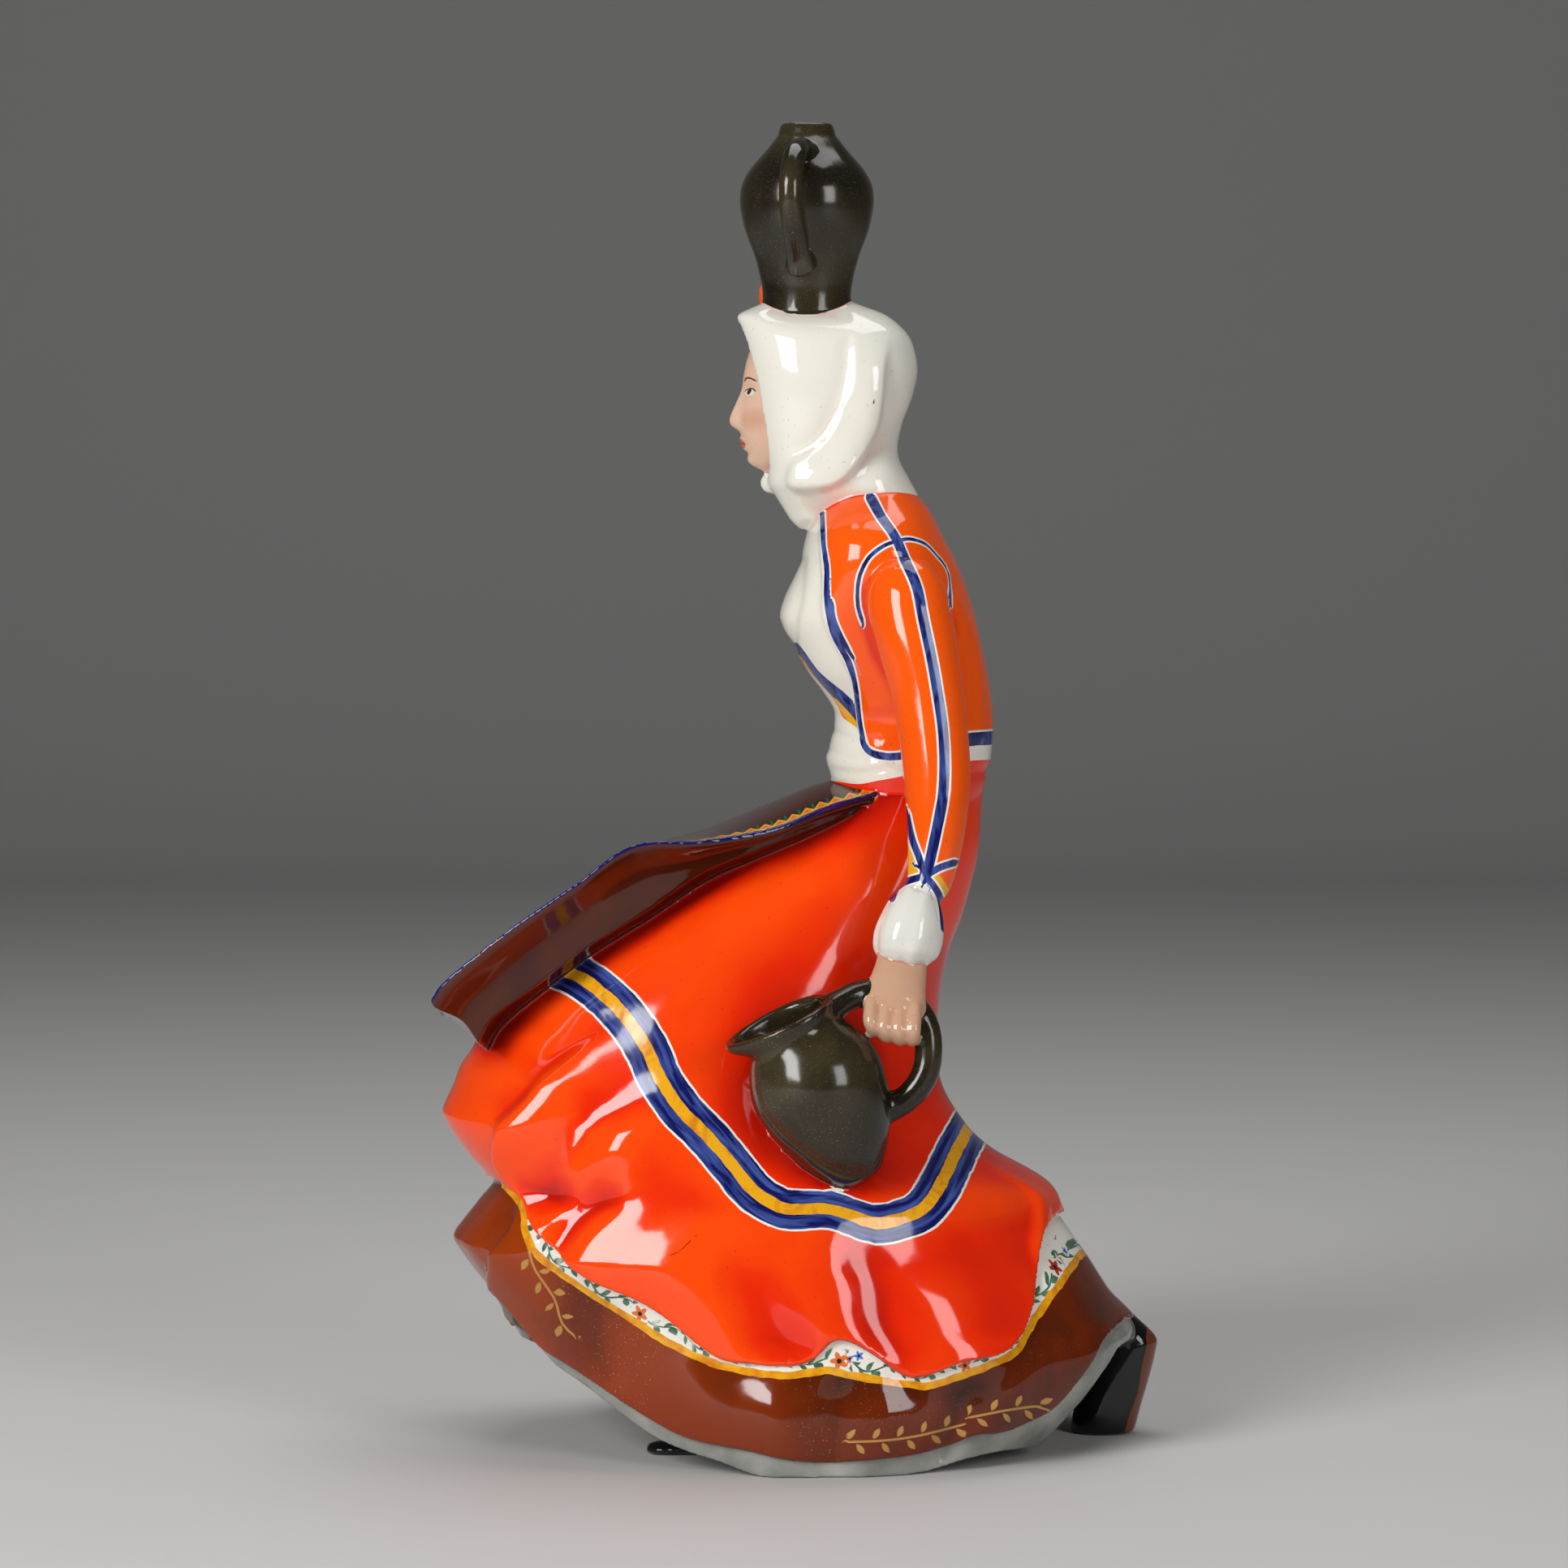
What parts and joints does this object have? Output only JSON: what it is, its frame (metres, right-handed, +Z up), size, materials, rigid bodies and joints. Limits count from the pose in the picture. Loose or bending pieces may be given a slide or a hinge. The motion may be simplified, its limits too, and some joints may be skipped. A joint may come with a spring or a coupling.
{
  "type": "earthenware figurine",
  "caption": "Glazed earthenware figurine of a walking woman in folk dress, with one jug on the head and one in the hand, standing on its own hem and shoes.",
  "frame": {"origin": "centre of the bounding box at ground level", "axes": "+Z up, -X the way the figure walks, -Y its left side with the hanging jug"},
  "size_m": [0.2187, 0.162, 0.399],
  "materials": {
    "painted_glaze": "glossy painted glaze on earthenware: red, brown, cobalt blue, yellow, cream, skin tones and dark olive jugs"
  },
  "bodies": {
    "root": {"figurine": "painted_glaze"}
  },
  "joints": []
}
